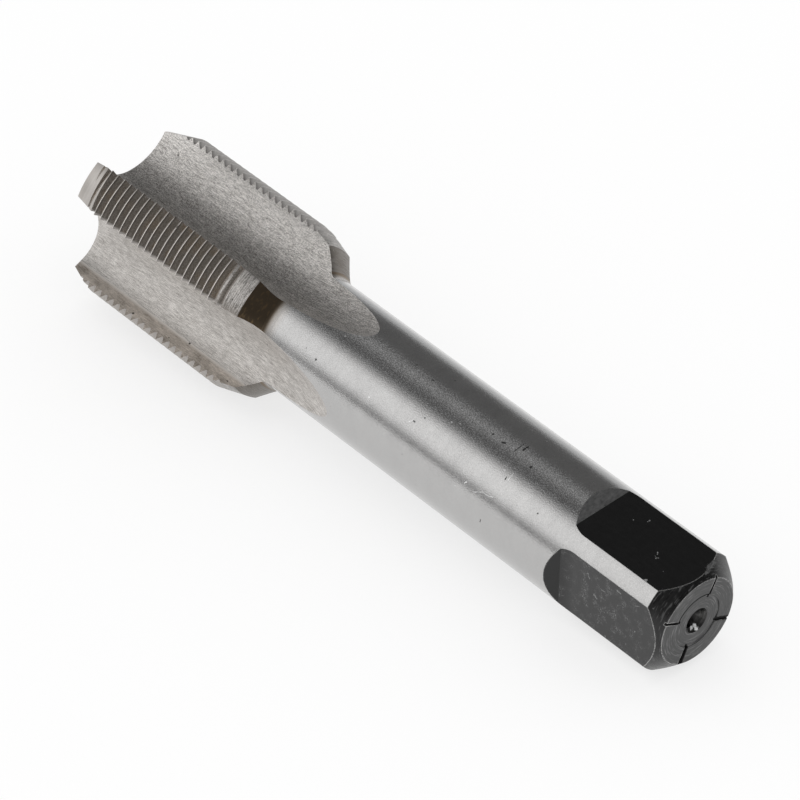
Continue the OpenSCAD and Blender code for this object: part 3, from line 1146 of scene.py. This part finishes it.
def smooth(tree, value, low, high, to_low=0.0, to_high=1.0):
    """Maps a value from one range to another in a soft curve, and holds it there."""
    inputs = {0: value, 1: low, 2: high, 3: to_low, 4: to_high}
    return node(tree, "MapRange", inputs, interpolation_type="SMOOTHSTEP").outputs[0]


def panel_light(tree, parts):
    """How bright the panels are in a direction."""
    angle = math_node(tree, "ARCTAN2", parts["Z"], parts["Y"])
    angle = math_node(tree, "MULTIPLY", angle, 180 / math.pi)
    total = 0.0
    for centre, half_width, softness, strength in PANELS:
        off = math_node(tree, "ABSOLUTE", math_node(tree, "SUBTRACT", angle, centre))
        panel = smooth(tree, off, half_width - softness, half_width + softness, strength, 0.0)
        total = math_node(tree, "ADD", total, panel)
    return math_node(tree, "MULTIPLY", total, smooth(tree, parts["X"], *PANEL_FADE))


def studio_world():
    """Even soft light on what scatters it, and in metal, panels in a dim room above a pale ground."""
    world = bpy.data.worlds.new("studio")
    bpy.context.scene.world = world
    world.use_nodes = True
    tree = world.node_tree
    tree.nodes.clear()
    direction = node(tree, "TexCoord").outputs["Generated"]
    parts = node(tree, "SeparateXYZ", {0: direction}).outputs
    above = math_node(tree, "ADD", panel_light(tree, parts), STUDIO_DARK)
    below = math_node(tree, "LESS_THAN", parts["Z"], 0.0)
    seen = node(tree, "Mix", {0: below, 2: above, 3: GROUND_GLOW}).outputs[0]
    scattered = node(tree, "LightPath").outputs["Is Diffuse Ray"]
    level = node(tree, "Mix", {0: scattered, 2: seen, 3: 1.0}).outputs[0]
    light = node(tree, "Background", {"Color": (1, 1, 1, 1), "Strength": level})
    node(tree, "OutputWorld", {"Surface": light.outputs[0]})


def resting_plane():
    """The turn and place of the plane under the two lowest land edges and the shank's underside."""
    edges = [math.radians(LAND_CUTTING + 2 * TURN), math.radians(LAND_HEEL + 3 * TURN)]
    points = [Vector((BEVEL_FRONT_X, THREAD_R * math.cos(a), THREAD_R * math.sin(a))) for a in edges]
    flat_end = SQUARE_LEN + (SHANK_R - HALF_SQUARE) / TAN_RUNOUT
    rear = Vector((flat_end, 0, -SHANK_R))
    up = (points[1] - rear).cross(points[0] - rear).normalized()
    up = up if up.z > 0 else -up
    turn = Vector((0, 0, 1)).rotation_difference(up).to_matrix().to_4x4()
    lowest = max(-(up.dot(p)) for p in (*points, rear))
    return turn, up * -lowest * MM


def floor_paper():
    """White paper with a soft shadow, which the camera and the metal see partly lit from behind."""
    paper = bpy.data.materials.new("floor_paper")
    paper.use_nodes = True
    tree = paper.node_tree
    tree.nodes.clear()
    matt = node(tree, "BsdfDiffuse", {"Color": grey(FLOOR_LEVEL)})
    white = node(tree, "Emission", {"Color": grey(1.0)})
    path = node(tree, "LightPath").outputs
    seen = path["Is Camera Ray"]
    for ray in ("Is Glossy Ray", "Is Transmission Ray"):
        seen = math_node(tree, "MAXIMUM", seen, path[ray])
    share = math_node(tree, "MULTIPLY", seen, FLOOR_WHITE)
    both = node(tree, "MixShader", {0: share, 1: matt.outputs[0], 2: white.outputs[0]})
    node(tree, "OutputMaterial", {"Surface": both.outputs[0]})
    return paper


def floor():
    """A pale floor that the tap lies on."""
    turn, place = resting_plane()
    half = FLOOR_SIZE / 2
    mesh = bpy.data.meshes.new("floor")
    corners = [(-half, -half, 0), (half, -half, 0), (half, half, 0), (-half, half, 0)]
    mesh.from_pydata(corners, [], [(0, 1, 2, 3)])
    made = bpy.data.objects.new("floor", mesh)
    bpy.context.collection.objects.link(made)
    made.matrix_world = Matrix.Translation(place) @ turn
    mesh.materials.append(floor_paper())


# The camera, as the photograph was taken, in millimetres and degrees
CAMERA_AZIMUTH = 46.67
CAMERA_ELEVATION = 41.72
CAMERA_ROLL = 1.23
CAMERA_DISTANCE = 730.458
CAMERA_OFFSET = (-0.157, 0.348)
LENS = 216.346
SENSOR = 36.0
# How near and far the camera sees, in metres
CLIP_START = 0.01
CLIP_END = 20.0


def camera():
    """Looks at the middle of the axis from the near side, behind the square end and above."""
    azimuth, elevation, roll = (math.radians(a) for a in (CAMERA_AZIMUTH, CAMERA_ELEVATION, CAMERA_ROLL))
    level = Vector((-math.sin(azimuth), math.cos(azimuth), 0))
    back = math.cos(elevation) * level + math.sin(elevation) * Vector((0, 0, 1))
    right = Vector((0, 0, 1)).cross(level)
    up = back.cross(right)
    right, up = (
        math.cos(roll) * right + math.sin(roll) * up,
        math.cos(roll) * up - math.sin(roll) * right,
    )
    target = Vector((OVERALL_LEN / 2, 0, 0))
    place = target + CAMERA_DISTANCE * back + CAMERA_OFFSET[0] * right + CAMERA_OFFSET[1] * up
    made = bpy.data.objects.new("camera", bpy.data.cameras.new("camera"))
    made.data.lens = LENS
    made.data.sensor_width = SENSOR
    made.data.clip_start = CLIP_START
    made.data.clip_end = CLIP_END
    made.matrix_world = Matrix.Translation(place * MM) @ Matrix((right, up, back)).transposed().to_4x4()
    bpy.context.collection.objects.link(made)
    bpy.context.scene.camera = made


tap = tap_solid()
tap.name = "thread_tap"
dress(tap, FINISHES)
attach(tap, BODY)
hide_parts(NODE)
studio_world()
floor()
camera()
bpy.context.scene.view_settings.view_transform = "Standard"
